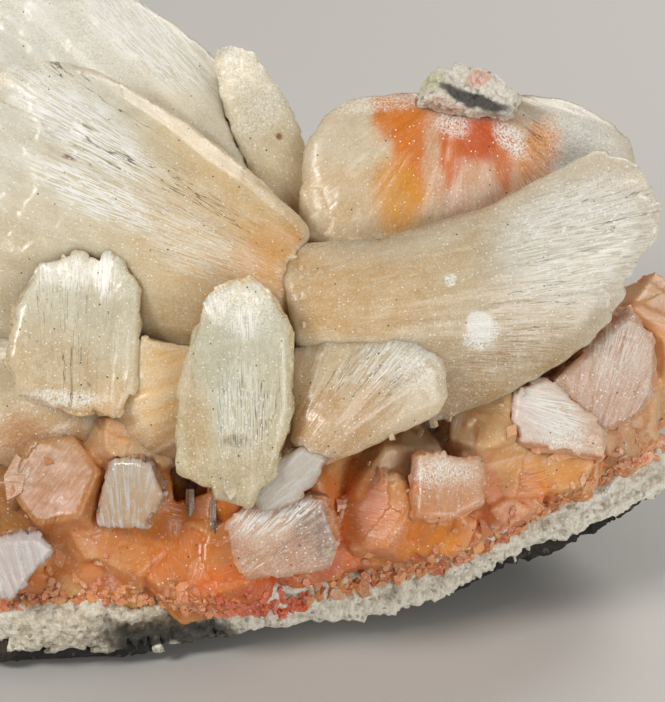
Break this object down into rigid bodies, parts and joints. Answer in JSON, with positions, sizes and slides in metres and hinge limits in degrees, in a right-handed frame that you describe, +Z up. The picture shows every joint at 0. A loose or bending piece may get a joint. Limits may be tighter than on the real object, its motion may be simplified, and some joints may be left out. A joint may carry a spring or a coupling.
{
  "type": "mineral specimen",
  "caption": "Sheaves and blades of cream zeolite crystals on an orange crystal druse over a white crust and a dark rock chunk with a flat resting face.",
  "frame": {"origin": "on the flat resting face, under the middle of the rock", "axes": "+Z up from the resting face, +X to the right along the specimen's length, -Y towards the crystals' display side"},
  "size_m": [0.0909, 0.051, 0.0653],
  "materials": {
    "basalt": "rough broken stone",
    "crust": "granular, chalky",
    "orange": "vitreous crystal, translucent",
    "cream": "pearly striated crystal, translucent",
    "pale": "glassy to pearly crystal, translucent",
    "pink": "glassy cleavage faces, translucent"
  },
  "bodies": {
    "root": {"basalt_matrix": "basalt", "white_crust": "crust", "orange_druse": "orange", "back_sheaf": "pale", "upper_fan": "cream", "lower_left_sheaf": "cream", "left_sheaf": "cream", "right_fan": "cream", "middle_fan": "cream", "back_blade": "pale", "left_blade": "pale", "centre_tablet": "pale", "grey_blade": "pale", "pink_plate": "pink", "pink_blade": "pink", "lower_plate": "pink", "small_plate": "pink", "white_blade": "pale", "lilac_blade": "pale", "rock_chip": "crust"}
  },
  "joints": []
}
